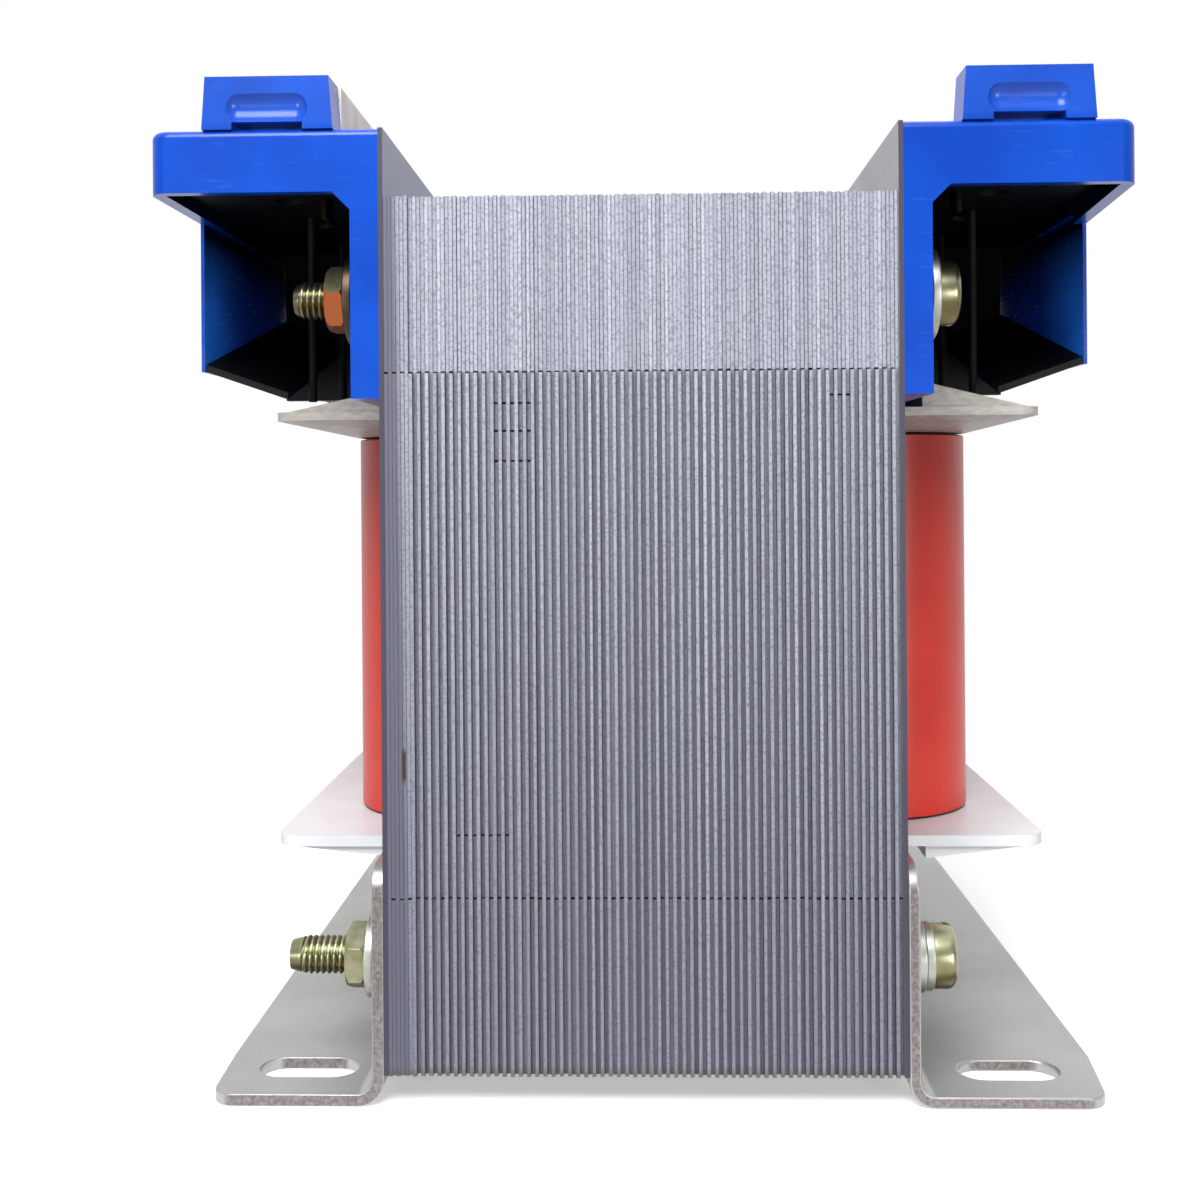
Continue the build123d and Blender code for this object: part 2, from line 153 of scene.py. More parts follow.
# Soft boxes: name, place and side in metres, power in watts; all face one point
LAMP_TARGET = (0, -0.05, 0.08)
SOFT_BOXES = (
    ("key", (-0.06, -0.34, 0.40), 0.26, 2.9),
    ("low_left", (-0.30, -0.52, 0.06), 0.14, 0.85),
    ("low_right", (0.30, -0.52, 0.06), 0.14, 1.15),
    ("top", (0.0, 0.12, 0.62), 0.45, 1.0),
)


def linear(code):
    """A colour written as sRGB hex, as the linear colour that a shader takes."""
    parts = [int(code[i:i + 2], 16) / 255 for i in (1, 3, 5)]
    return [p / 12.92 if p <= 0.04045 else ((p + 0.055) / 1.055) ** 2.4 for p in parts] + [1.0]


def add_node(material, kind, sockets=None, **settings):
    """Adds a node; a socket takes a value, or a link where it is given another node's output."""
    node = material.node_tree.nodes.new(kind)
    for name, value in settings.items():
        setattr(node, name, value)
    for name, value in (sockets or {}).items():
        if isinstance(value, bpy.types.NodeSocket):
            material.node_tree.links.new(value, node.inputs[name])
        else:
            node.inputs[name].default_value = value
    return node


def bare_material(name):
    """An empty material with the Object coordinates that its patterns read."""
    material = bpy.data.materials.new(name)
    material.use_nodes = True
    material.node_tree.nodes.clear()
    return material, add_node(material, "ShaderNodeTexCoord").outputs["Object"]


def facing(material, axis):
    """How far the surface faces along an axis, from -1 to 1."""
    normal = add_node(material, "ShaderNodeTexCoord").outputs["Normal"]
    return add_node(material, "ShaderNodeSeparateXYZ", {0: normal}).outputs[axis]


def patches(material, place, size, first, second, low=0.35, high=0.65, stretch=(1, 1, 1)):
    """Cloudy patches of about one size in two colours."""
    laid = add_node(material, "ShaderNodeMapping", {"Vector": place, "Scale": stretch}).outputs[0]
    noise = add_node(
        material, "ShaderNodeTexNoise", {"Vector": laid, "Scale": 1 / size, "Detail": 4}
    ).outputs[0]
    amount = add_node(
        material, "ShaderNodeMapRange", {"Value": noise, "From Min": low, "From Max": high}
    ).outputs[0]
    return add_node(
        material, "ShaderNodeMix", {0: amount, 6: first, 7: second}, data_type="RGBA"
    ).outputs[2]


def finished(material, sockets, grain=None, grain_depth=0.0):
    """Ends a material with its shader, roughened by a grain where one is given."""
    if grain is not None:
        relief = add_node(material, "ShaderNodeBump", {"Height": grain, "Distance": grain_depth})
        sockets["Normal"] = relief.outputs[0]
    shader = add_node(material, "ShaderNodeBsdfPrincipled", sockets)
    add_node(material, "ShaderNodeOutputMaterial", {"Surface": shader.outputs[0]})
    return material


def moulded_blue_nylon():
    """Nylon, injection moulded in blue: soft gloss, flow clouds, fine scuffs, ridges made paler by
    painted light, and painted light and shade on the hanging walls.
    """
    material, place = bare_material("moulded_blue_nylon")
    body = patches(material, place, 9 * MM, linear("#00389C"), linear("#0042AC"))
    laid = add_node(
        material, "ShaderNodeMapping", {"Vector": place, "Scale": (0.25, 0.25, 2)}
    ).outputs[0]
    scuff = add_node(
        material, "ShaderNodeTexNoise", {"Vector": laid, "Scale": 1 / (1.4 * MM), "Detail": 4}
    ).outputs[0]
    scuff_and_ridge_light = add_node(
        material, "ShaderNodeMapRange",
        {"Value": scuff, "From Min": 0.66, "From Max": 0.82, "To Min": 0.0, "To Max": 0.1},
    ).outputs[0]
    axes = add_node(material, "ShaderNodeSeparateXYZ", {0: place}).outputs
    # Painted light: the ridges, above the base top, are drawn a little paler, as lit from above
    ridge_painted_light = add_node(
        material, "ShaderNodeMapRange",
        {"Value": axes["Z"], "From Min": RIDGE_FOOT, "From Max": RIDGE_FOOT + 1 * MM,
         "To Min": 0.0, "To Max": 0.05},
    ).outputs[0]
    scuff_and_ridge_light = add_node(material, "ShaderNodeMath", {0: scuff_and_ridge_light, 1: ridge_painted_light}, operation="ADD").outputs[0]

    # Painted light and shade on the hanging walls, on their faces towards the core under the
    # ridges: a painted glow of bright blue low down, turning to painted shade, near black, close
    # under the top
    outward = add_node(material, "ShaderNodeMath", {0: axes["X"]}, operation="SIGN").outputs[0]
    outward = add_node(
        material, "ShaderNodeMath", {0: facing(material, "X"), 1: outward}, operation="MULTIPLY"
    ).outputs[0]
    inner = add_node(
        material, "ShaderNodeMath", {0: outward, 1: -0.8}, operation="LESS_THAN"
    ).outputs[0]
    hanging = add_node(
        material, "ShaderNodeMath", {0: axes["Z"], 1: RIDGE_FOOT}, operation="LESS_THAN"
    ).outputs[0]
    inner = add_node(
        material, "ShaderNodeMath", {0: inner, 1: hanging}, operation="MULTIPLY"
    ).outputs[0]
    outer = add_node(
        material, "ShaderNodeMath", {0: 1.0, 1: inner}, operation="SUBTRACT"
    ).outputs[0]
    scuff_and_ridge_light = add_node(
        material, "ShaderNodeMath", {0: scuff_and_ridge_light, 1: outer}, operation="MULTIPLY"
    ).outputs[0]
    colour = add_node(
        material, "ShaderNodeMix", {0: scuff_and_ridge_light, 6: body, 7: linear("#6E98E4")}, data_type="RGBA"
    ).outputs[2]
    upper = add_node(
        material, "ShaderNodeMapRange",
        {"Value": axes["Z"], "From Min": WALL_PAINTED_SHADE[0], "From Max": WALL_PAINTED_SHADE[1]},
    ).outputs[0]
    wall_painted_light_and_shade = add_node(
        material, "ShaderNodeMix",
        {0: upper, 6: linear("#2C84FF"), 7: linear("#030A1E")},
        data_type="RGBA",
    ).outputs[2]
    colour = add_node(
        material, "ShaderNodeMix", {0: inner, 6: colour, 7: wall_painted_light_and_shade}, data_type="RGBA"
    ).outputs[2]
    gloss = add_node(
        material, "ShaderNodeMapRange",
        {"Value": scuff, "From Min": 0.3, "From Max": 0.75, "To Min": 0.25, "To Max": 0.28},
    ).outputs[0]
    grain = add_node(
        material, "ShaderNodeTexNoise", {"Vector": place, "Scale": 1 / (0.7 * MM)}
    ).outputs[0]
    sockets = {"Base Color": colour, "Roughness": gloss, "Specular IOR Level": 0.35}
    return finished(material, sockets, grain, 0.01 * MM)


def moulded_black_nylon():
    """Nylon, injection moulded in black: half matt, and deep black in the shade of the bases."""
    material, place = bare_material("moulded_black_nylon")
    colour = patches(material, place, 6 * MM, linear("#020202"), linear("#060607"))
    return finished(material, {"Base Color": colour, "Roughness": 0.55, "Specular IOR Level": 0.2})


def moulded_white_nylon():
    """Nylon, injection moulded undyed: cool white with a waxy sheen, and painted shade greying the
    upper flange under the bases.
    """
    material, place = bare_material("moulded_white_nylon")
    clean = patches(material, place, 8 * MM, linear("#D6D8DC"), linear("#DEE0E4"))
    # Painted shade: the upper flange, which lies in the shade of the bases, is drawn in greyer,
    # browner streaks
    painted_flange_shade = patches(
        material, place, 1.6 * MM, linear("#A39C93"), linear("#B9B5B0"), stretch=(1, 1, 3)
    )
    height = add_node(material, "ShaderNodeSeparateXYZ", {0: place}).outputs["Z"]
    middle = (core_low.z + core_high.z) / 2
    upper = add_node(
        material, "ShaderNodeMath", {0: height, 1: middle}, operation="GREATER_THAN"
    ).outputs[0]
    colour = add_node(
        material, "ShaderNodeMix", {0: upper, 6: clean, 7: painted_flange_shade}, data_type="RGBA"
    ).outputs[2]
    return finished(material, {"Base Color": colour, "Roughness": 0.42})


def pressed_ivory_fibre():
    """Vulcanised fibre, pressed and cut to a strip: ivory and matt."""
    material, place = bare_material("pressed_ivory_fibre")
    colour = patches(material, place, 4 * MM, linear("#CFC6BA"), linear("#E0D9CE"))
    return finished(material, {"Base Color": colour, "Roughness": 0.55})


def red_polyester_tape():
    """Polyester film tape, wound tight: smooth red, with painted shade browning it towards the top
    under the upper flange, and upright puckers.
    """
    material, place = bare_material("wound_red_polyester_tape")
    colour = patches(material, place, 12 * MM, linear("#C42616"), linear("#CE2F1D"))
    height = add_node(material, "ShaderNodeSeparateXYZ", {0: place}).outputs["Z"]
    # Painted shade: the tape darkens to brown towards its top, where the upper flange shades it
    painted_top_shade = add_node(
        material, "ShaderNodeMapRange",
        {"Value": height, "From Min": TAPE_PAINTED_SHADE[0], "From Max": TAPE_PAINTED_SHADE[1], "To Max": 0.6},
    ).outputs[0]
    colour = add_node(
        material, "ShaderNodeMix", {0: painted_top_shade, 6: colour, 7: linear("#6E160C")}, data_type="RGBA"
    ).outputs[2]
    laid = add_node(
        material, "ShaderNodeMapping", {"Vector": place, "Scale": (1, 1, 0.2)}
    ).outputs[0]
    pucker = add_node(
        material, "ShaderNodeTexNoise", {"Vector": laid, "Scale": 1 / (5 * MM)}
    ).outputs[0]
    return finished(material, {"Base Color": colour, "Roughness": 0.36}, pucker, 0.1 * MM)


def sheared_silicon_steel():
    """Silicon steel, sheared: each sheet edge is pale in the middle, with dark joints and painted
    shade where sheets meet, painted shade on sheets that sit back, and a painted highlight on some
    edges.
    """
    material, place = bare_material("sheared_silicon_steel")
    axes = add_node(material, "ShaderNodeSeparateXYZ", {0: place}).outputs
    count = add_node(
        material, "ShaderNodeMath", {0: axes["X"], 1: PITCH}, operation="DIVIDE"
    ).outputs[0]
    number = add_node(material, "ShaderNodeMath", {0: count}, operation="FLOOR").outputs[0]
    across = add_node(
        material, "ShaderNodeMath", {0: count, 1: 0.5}, operation="PINGPONG"
    ).outputs[0]
    tone = add_node(
        material, "ShaderNodeTexWhiteNoise", {"W": number}, noise_dimensions="1D"
    ).outputs[0]
    colour = add_node(
        material, "ShaderNodeMix",
        {0: tone, 6: linear("#8E919D"), 7: linear("#A2A5B1")},
        data_type="RGBA",
    ).outputs[2]

    # A dark joint where two sheet edges meet, deepened by painted shade under the joint, where
    # every other sheet sits back
    under_joint = add_node(
        material, "ShaderNodeMath", {0: axes["Z"], 1: JOINT}, operation="LESS_THAN"
    ).outputs[0]
    seam_joint_and_shade = add_node(
        material, "ShaderNodeMapRange",
        {"Value": across, "From Min": 0.0, "From Max": 0.26, "To Min": 1.0, "To Max": 0.0},
        interpolation_type="SMOOTHSTEP",
    ).outputs[0]
    uneven = add_node(
        material, "ShaderNodeTexWhiteNoise",
        {"W": number, "Vector": (0.0, 0.0, 5.0)},
        noise_dimensions="4D",
    ).outputs[0]
    uneven = add_node(
        material, "ShaderNodeMapRange",
        {"Value": uneven, "From Min": 0.5, "To Min": 0.4, "To Max": 1.0},
    ).outputs[0]
    depth = add_node(
        material, "ShaderNodeMath", {0: under_joint, 1: 0.5}, operation="MULTIPLY"
    ).outputs[0]
    depth = add_node(
        material, "ShaderNodeMath", {0: depth, 1: uneven}, operation="MAXIMUM"
    ).outputs[0]
    seam_joint_and_shade = add_node(
        material, "ShaderNodeMath", {0: seam_joint_and_shade, 1: depth}, operation="MULTIPLY"
    ).outputs[0]
    colour = add_node(
        material, "ShaderNodeMix", {0: seam_joint_and_shade, 6: colour, 7: linear("#35353F")}, data_type="RGBA"
    ).outputs[2]

    # A painted highlight: a bright line on the edges of about one sheet in eight
    burr_highlight = add_node(
        material, "ShaderNodeMapRange",
        {"Value": tone, "From Min": 0.86, "From Max": 0.9, "To Max": 0.85},
    ).outputs[0]
    crest = add_node(
        material, "ShaderNodeMapRange", {"Value": across, "From Min": 0.28, "From Max": 0.4}
    ).outputs[0]
    burr_highlight = add_node(
        material, "ShaderNodeMath", {0: burr_highlight, 1: crest}, operation="MULTIPLY"
    ).outputs[0]
    colour = add_node(
        material, "ShaderNodeMix", {0: burr_highlight, 6: colour, 7: linear("#AEB0BA")}, data_type="RGBA"
    ).outputs[2]

    # Painted shade on the sheets that sit back under their neighbours, under the joint
    side = add_node(material, "ShaderNodeMath", {0: axes["Y"]}, operation="ABSOLUTE").outputs[0]
    back = add_node(
        material, "ShaderNodeMapRange",
        {"Value": side, "From Min": CORE_HALF - 0.6 * RECESS, "From Max": CORE_HALF - 0.4 * RECESS,
         "To Min": 0.4, "To Max": 0.0},
    ).outputs[0]
    back = add_node(
        material, "ShaderNodeMath", {0: back, 1: under_joint}, operation="MULTIPLY"
    ).outputs[0]
    colour = add_node(
        material, "ShaderNodeMix", {0: back, 6: colour, 7: linear("#474855")}, data_type="RGBA"
    ).outputs[2]

    # Painted shade: the core darkens a little towards the feet; and its first sheets are darker
    low = add_node(
        material, "ShaderNodeMapRange",
        {"Value": axes["Z"], "From Min": core_low.z, "From Max": JOINT,
         "To Min": 0.5, "To Max": 0.0},
    ).outputs[0]
    leaning = add_node(
        material, "ShaderNodeMath",
        {0: axes["Z"], 1: 3 * PITCH / core_high.z, 2: axes["X"]},
        operation="MULTIPLY_ADD",
    ).outputs[0]
    first = add_node(
        material, "ShaderNodeMapRange",
        {"Value": leaning, "From Min": core_low.x + (FLUSH_SHEETS - 1) * PITCH,
         "From Max": core_low.x + (FLUSH_SHEETS + 1) * PITCH, "To Min": 0.85, "To Max": 0.0},
    ).outputs[0]
    low = add_node(material, "ShaderNodeMath", {0: low, 1: first}, operation="MAXIMUM").outputs[0]
    colour = add_node(
        material, "ShaderNodeMix", {0: low, 6: colour, 7: linear("#4C4A5C")}, data_type="RGBA"
    ).outputs[2]

    # Specks of rolling scale and of rust, about a third of a millimetre
    speck = add_node(
        material, "ShaderNodeTexNoise", {"Vector": place, "Scale": 1 / (0.4 * MM), "Detail": 3}
    ).outputs[0]
    dark = add_node(
        material, "ShaderNodeMapRange",
        {"Value": speck, "From Min": 0.45, "From Max": 0.68, "To Min": 0.0, "To Max": 0.55},
    ).outputs[0]
    colour = add_node(
        material, "ShaderNodeMix", {0: dark, 6: colour, 7: linear("#54555F")}, data_type="RGBA"
    ).outputs[2]

    # One rust streak near the left end, and brown bottom edges
    from_streak = add_node(
        material, "ShaderNodeMath", {0: axes["X"], 1: RUST_X}, operation="SUBTRACT"
    ).outputs[0]
    from_streak = add_node(
        material, "ShaderNodeMath", {0: from_streak}, operation="ABSOLUTE"
    ).outputs[0]
    beside = add_node(
        material, "ShaderNodeMapRange",
        {"Value": from_streak, "From Min": 0.15 * MM, "From Max": 0.35 * MM,
         "To Min": 1.0, "To Max": 0.0},
    ).outputs[0]
    middle, half = (RUST_LOW + RUST_HIGH) / 2, (RUST_HIGH - RUST_LOW) / 2
    from_middle = add_node(
        material, "ShaderNodeMath", {0: axes["Z"], 1: middle}, operation="SUBTRACT"
    ).outputs[0]
    from_middle = add_node(
        material, "ShaderNodeMath", {0: from_middle}, operation="ABSOLUTE"
    ).outputs[0]
    along = add_node(
        material, "ShaderNodeMapRange",
        {"Value": from_middle, "From Min": 0.6 * half, "From Max": half,
         "To Min": 1.0, "To Max": 0.0},
    ).outputs[0]
    near = add_node(
        material, "ShaderNodeMath", {0: axes["Y"], 1: -0.95 * CORE_HALF}, operation="LESS_THAN"
    ).outputs[0]
    rust = add_node(
        material, "ShaderNodeMath", {0: beside, 1: along}, operation="MULTIPLY"
    ).outputs[0]
    rust = add_node(material, "ShaderNodeMath", {0: rust, 1: near}, operation="MULTIPLY").outputs[0]
    colour = add_node(
        material, "ShaderNodeMix", {0: rust, 6: colour, 7: linear("#3A2118")}, data_type="RGBA"
    ).outputs[2]
    low_edge = add_node(
        material, "ShaderNodeMapRange",
        {"Value": axes["Z"], "From Min": core_low.z + 0.3 * MM, "From Max": core_low.z + 1.4 * MM,
         "To Min": 0.6, "To Max": 0.0},
    ).outputs[0]
    colour = add_node(
        material, "ShaderNodeMix", {0: low_edge, 6: colour, 7: linear("#54473C")}, data_type="RGBA"
    ).outputs[2]
    return finished(
        material, {"Base Color": colour, "Roughness": 0.5, "Metallic": 0.3}, speck, 0.02 * MM
    )


def rolled_steel_sheet():
    """Steel sheet, cold rolled: pale grey, with painted shade in lilac on the left sheet, dark on
    sheared edges.
    """
    material, place = bare_material("cold_rolled_steel_sheet")
    colour = patches(material, place, 14 * MM, linear("#929296"), linear("#A0A0A4"))
    across = add_node(material, "ShaderNodeSeparateXYZ", {0: place}).outputs["X"]
    # Painted shade: the left end sheet, which faces away from the key lamp, is drawn darker and
    # lilac
    left = add_node(
        material, "ShaderNodeMath", {0: across, 1: 0.0}, operation="LESS_THAN"
    ).outputs[0]
    left = add_node(material, "ShaderNodeMath", {0: left, 1: 0.7}, operation="MULTIPLY").outputs[0]
    colour = add_node(
        material, "ShaderNodeMix", {0: left, 6: colour, 7: linear("#6C6E92")}, data_type="RGBA"
    ).outputs[2]
    along = add_node(
        material, "ShaderNodeMath", {0: facing(material, "Y")}, operation="ABSOLUTE"
    ).outputs[0]
    sheared = add_node(
        material, "ShaderNodeMath", {0: along, 1: 0.7}, operation="GREATER_THAN"
    ).outputs[0]
    colour = add_node(
        material, "ShaderNodeMix", {0: sheared, 6: colour, 7: linear("#403E4C")}, data_type="RGBA"
    ).outputs[2]
    return finished(material, {"Base Color": colour, "Roughness": 0.42, "Metallic": 0.4})


def zinc_plated_steel():
    """Steel strip, folded and zinc plated: even satin grey, with darker speckled sheared edges."""
    material, place = bare_material("zinc_plated_folded_steel")
    flat = patches(material, place, 16 * MM, linear("#A8A8A6"), linear("#B2B2B0"))
    edge = patches(material, place, 0.5 * MM, linear("#6E6867"), linear("#948F8E"), 0.35, 0.7)
    along = add_node(
        material, "ShaderNodeMath", {0: facing(material, "Y")}, operation="ABSOLUTE"
    ).outputs[0]
    sheared = add_node(
        material, "ShaderNodeMapRange", {"Value": along, "From Min": 0.9, "From Max": 0.98}
    ).outputs[0]
    colour = add_node(
        material, "ShaderNodeMix", {0: sheared, 6: flat, 7: edge}, data_type="RGBA"
    ).outputs[2]
    laid = add_node(
        material, "ShaderNodeMapping", {"Vector": place, "Scale": (1, 0.15, 1)}
    ).outputs[0]
    lines = add_node(
        material, "ShaderNodeTexNoise", {"Vector": laid, "Scale": 1 / (0.8 * MM)}
    ).outputs[0]
    gloss = add_node(
        material, "ShaderNodeMapRange",
        {"Value": lines, "From Min": 0.3, "From Max": 0.7, "To Min": 0.33, "To Max": 0.38},
    ).outputs[0]
    return finished(material, {"Base Color": colour, "Roughness": gloss, "Metallic": 0.7})


def yellow_passivated_zinc():
    """Steel, zinc plated and yellow passivated: pale greenish straw, with painted shade in the
    thread roots and painted reflections on downward faces and on one nut.
    """
    material, place = bare_material("yellow_passivated_zinc")
    body = patches(material, place, 2.2 * MM, linear("#A2A27E"), linear("#C6C8AA"))
    axes = add_node(material, "ShaderNodeSeparateXYZ", {0: place}).outputs
    side = add_node(material, "ShaderNodeMath", {0: axes["Y"]}, operation="ABSOLUTE").outputs[0]
    side = add_node(
        material, "ShaderNodeMath", {0: side, 1: BOLT_Y}, operation="SUBTRACT"
    ).outputs[0]
    half_rise = (BOLT_LEVELS[1] - BOLT_LEVELS[0]) / 2
    height = add_node(
        material, "ShaderNodeMath", {0: axes["Z"], 1: sum(BOLT_LEVELS) / 2}, operation="SUBTRACT"
    ).outputs[0]
    height = add_node(material, "ShaderNodeMath", {0: height}, operation="ABSOLUTE").outputs[0]
    height = add_node(
        material, "ShaderNodeMath", {0: height, 1: half_rise}, operation="SUBTRACT"
    ).outputs[0]
    spot = add_node(material, "ShaderNodeCombineXYZ", {"Y": side, "Z": height}).outputs[0]
    radius = add_node(
        material, "ShaderNodeVectorMath", {0: spot}, operation="LENGTH"
    ).outputs["Value"]
    # Painted shade in the thread roots
    root = add_node(
        material, "ShaderNodeMapRange",
        {"Value": radius, "From Min": BOLT_R - 0.75 * THREAD_DEPTH,
         "From Max": BOLT_R - 0.25 * THREAD_DEPTH, "To Min": 0.45, "To Max": 0.0},
    ).outputs[0]
    colour = add_node(
        material, "ShaderNodeMix", {0: root, 6: body, 7: linear("#5A5A30")}, data_type="RGBA"
    ).outputs[2]

    # Painted reflection: faces that look down are drawn dark brown, as if they mirrored a dark
    # table under them
    upward = facing(material, "Z")
    downward_painted_reflection = add_node(
        material, "ShaderNodeMapRange",
        {"Value": upward, "From Min": -0.35, "From Max": 0.3, "To Min": 0.85, "To Max": 0.0},
    ).outputs[0]
    colour = add_node(
        material, "ShaderNodeMix", {0: downward_painted_reflection, 6: colour, 7: linear("#584C28")}, data_type="RGBA"
    ).outputs[2]

    # Painted reflection of the red tape: orange brown on the near nut under the left base
    low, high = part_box("upper_nuts")
    limits = (
        (axes["X"], low.x - 0.1 * MM, "GREATER_THAN"),
        (axes["X"], high.x + 0.1 * MM, "LESS_THAN"),
        (axes["Y"], 0.0, "LESS_THAN"),
        (axes["Z"], low.z - MM, "GREATER_THAN"),
    )
    painted_red_reflection = add_node(
        material, "ShaderNodeMath", {0: upward, 1: 0.6}, operation="LESS_THAN"
    ).outputs[0]
    for value, limit, operation in limits:
        inside = add_node(
            material, "ShaderNodeMath", {0: value, 1: limit}, operation=operation
        ).outputs[0]
        painted_red_reflection = add_node(
            material, "ShaderNodeMath", {0: painted_red_reflection, 1: inside}, operation="MULTIPLY"
        ).outputs[0]
    colour = add_node(
        material, "ShaderNodeMix", {0: painted_red_reflection, 6: colour, 7: linear("#B0623C")}, data_type="RGBA"
    ).outputs[2]
    return finished(material, {"Base Color": colour, "Roughness": 0.3, "Metallic": 1.0})


def clear_passivated_zinc():
    """Steel, zinc plated and clear passivated: satin grey, darker on the washers at the upper left.
    """
    material, place = bare_material("clear_passivated_zinc")
    colour = patches(material, place, 2.5 * MM, linear("#A0A298"), linear("#B6B8B0"))
    axes = add_node(material, "ShaderNodeSeparateXYZ", {0: place}).outputs
    left = add_node(
        material, "ShaderNodeMath", {0: axes["X"], 1: 0.0}, operation="LESS_THAN"
    ).outputs[0]
    upper = add_node(
        material, "ShaderNodeMath",
        {0: axes["Z"], 1: sum(BOLT_LEVELS) / 2},
        operation="GREATER_THAN",
    ).outputs[0]
    upper_left_dark = add_node(
        material, "ShaderNodeMath", {0: left, 1: upper}, operation="MULTIPLY"
    ).outputs[0]
    colour = add_node(
        material, "ShaderNodeMix", {0: upper_left_dark, 6: colour, 7: linear("#4A4034")}, data_type="RGBA"
    ).outputs[2]
    return finished(material, {"Base Color": colour, "Roughness": 0.42, "Metallic": 1.0})


def plated_terminal_brass():
    """Brass strip, stamped and nickel plated: warm pale metal, with painted shade darkening the
    tails where they hang in the bays.
    """
    material, place = bare_material("nickel_plated_brass")
    plated = patches(material, place, 3 * MM, linear("#B9AE93"), linear("#D0C9B6"))
    height = add_node(material, "ShaderNodeSeparateXYZ", {0: place}).outputs["Z"]
    # Painted shade: the tails that hang in the bays under the base top are drawn dark
    bay_painted_shade = add_node(
        material, "ShaderNodeMapRange",
        {"Value": height, "From Min": RIDGE_FOOT - 3 * MM, "From Max": RIDGE_FOOT - 1 * MM,
         "To Min": 1.0, "To Max": 0.0},
    ).outputs[0]
    colour = add_node(
        material, "ShaderNodeMix", {0: bay_painted_shade, 6: plated, 7: linear("#1E1A15")}, data_type="RGBA"
    ).outputs[2]
    return finished(material, {"Base Color": colour, "Roughness": 0.34, "Metallic": 1.0})


def varnished_glass_sleeving():
    """Glass yarn sleeving, woven and varnished: drawn near black as painted shade, since it hangs
    in the shade of the bases; its fine weave drawn at 0.8 mm.
    """
    material, place = bare_material("varnished_glass_sleeving")
    # Painted shade: colours near black, for leads that hang in the shade of the bases
    colour = patches(material, place, 0.8 * MM, linear("#080808"), linear("#111110"))
    return finished(material, {"Base Color": colour, "Roughness": 0.7, "Specular IOR Level": 0.2})


def pressed_paper_board():
    """Paper board, pressed: tan, with short fibres."""
    material, place = bare_material("pressed_paper_board")
    colour = patches(material, place, 1.5 * MM, linear("#8C7448"), linear("#B09868"))
    return finished(material, {"Base Color": colour, "Roughness": 0.8})


def enamelled_copper_wire():
    """Copper wire, enamelled and wound in close turns 0.8 mm apart."""
    material, place = bare_material("enamelled_copper_wire")
    turns = add_node(
        material, "ShaderNodeTexWave",
        {"Vector": place, "Scale": WAVE_BAND / WIRE_PITCH},
        bands_direction="Z",
    ).outputs["Fac"]
    colour = add_node(
        material, "ShaderNodeMix",
        {0: turns, 6: linear("#6E2D14"), 7: linear("#B5612F")},
        data_type="RGBA",
    ).outputs[2]
    return finished(
        material, {"Base Color": colour, "Roughness": 0.35, "Metallic": 0.8}, turns, 0.1 * MM
    )


def clear_polyester_film():
    """Polyester film, wound in several turns: straw coloured and slightly glossy."""
    material, place = bare_material("clear_polyester_film")
    colour = patches(material, place, 4 * MM, linear("#BDB48E"), linear("#D2CAA8"))
    return finished(material, {"Base Color": colour, "Roughness": 0.35})


finishes = {
    "silicon_steel": sheared_silicon_steel(),
    "end_sheet": rolled_steel_sheet(),
    "white_plastic": moulded_white_nylon(),
    "pressboard": pressed_paper_board(),
    "enamelled_copper": enamelled_copper_wire(),
    "insulation_film": clear_polyester_film(),
    "red_wrap": red_polyester_tape(),
    "ivory_plastic": pressed_ivory_fibre(),
    "zinc_steel": zinc_plated_steel(),
    "blue_plastic": moulded_blue_nylon(),
    "black_plastic": moulded_black_nylon(),
    "terminal_brass": plated_terminal_brass(),
    "lead_sleeve": varnished_glass_sleeving(),
    "yellow_zinc": yellow_passivated_zinc(),
    "washer_zinc": clear_passivated_zinc(),
}
node_slots = {row["node"]: row["material_slot"] for row in frame["record"]["subparts"]}


def dress(piece, slot):
    """Gives a piece the one finish of its slot."""
    piece.data.materials.clear()
    piece.data.materials.append(finishes[slot])


def select_only(*pieces):
    """Selects these pieces alone, the first of them active."""
    bpy.ops.object.select_all(action="DESELECT")
    for piece in pieces:
        piece.select_set(True)
    bpy.context.view_layer.objects.active = pieces[0]


def stand_in(piece, name, *nodes):
    """Names a finished piece, dresses it as the nodes it stands for and ties it to the body."""
    piece.name = name
    piece.data.name = name
    slot = node_slots[nodes[0]]
    dress(piece, slot)
    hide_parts(*nodes)
    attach(piece, "root")


def with_modifier(piece, kind, **settings):
    """Adds a modifier and applies it."""
    select_only(piece)
    modifier = piece.modifiers.new(kind.lower(), kind)
    for name, value in settings.items():
        setattr(modifier, name, value)
    bpy.ops.object.modifier_apply(modifier=modifier.name)


def combined(piece, tool, operation="DIFFERENCE"):
    """Cuts the piece with the tool, or keeps what they share, and removes the tool."""
    with_modifier(piece, "BOOLEAN", object=tool, operation=operation, solver="EXACT")
    bpy.data.objects.remove(tool)


def settled(piece):
    """Puts a primitive's place, turn and size into its mesh."""
    select_only(piece)
    bpy.ops.object.transform_apply(location=True, rotation=True, scale=True)
    return piece


def block(x0, x1, y0, y1, z0, z1):
    """A box between two opposite corners."""
    bpy.ops.mesh.primitive_cube_add(size=1, location=((x0 + x1) / 2, (y0 + y1) / 2, (z0 + z1) / 2))
    piece = bpy.context.active_object
    piece.scale = (x1 - x0, y1 - y0, z1 - z0)
    return settled(piece)


def rod(radius, x0, x1, y, z, sides, turn=0.0):
    """A round or many-sided bar along X; its first corner points along Y, turned about X."""
    bpy.ops.mesh.primitive_cylinder_add(
        vertices=sides, radius=radius, depth=x1 - x0, location=((x0 + x1) / 2, y, z)
    )
    piece = bpy.context.active_object
    along = Matrix.Rotation(math.pi / 2, 3, "Y")
    piece.rotation_euler = (Matrix.Rotation(turn, 3, "X") @ along).to_euler()
    return settled(piece)


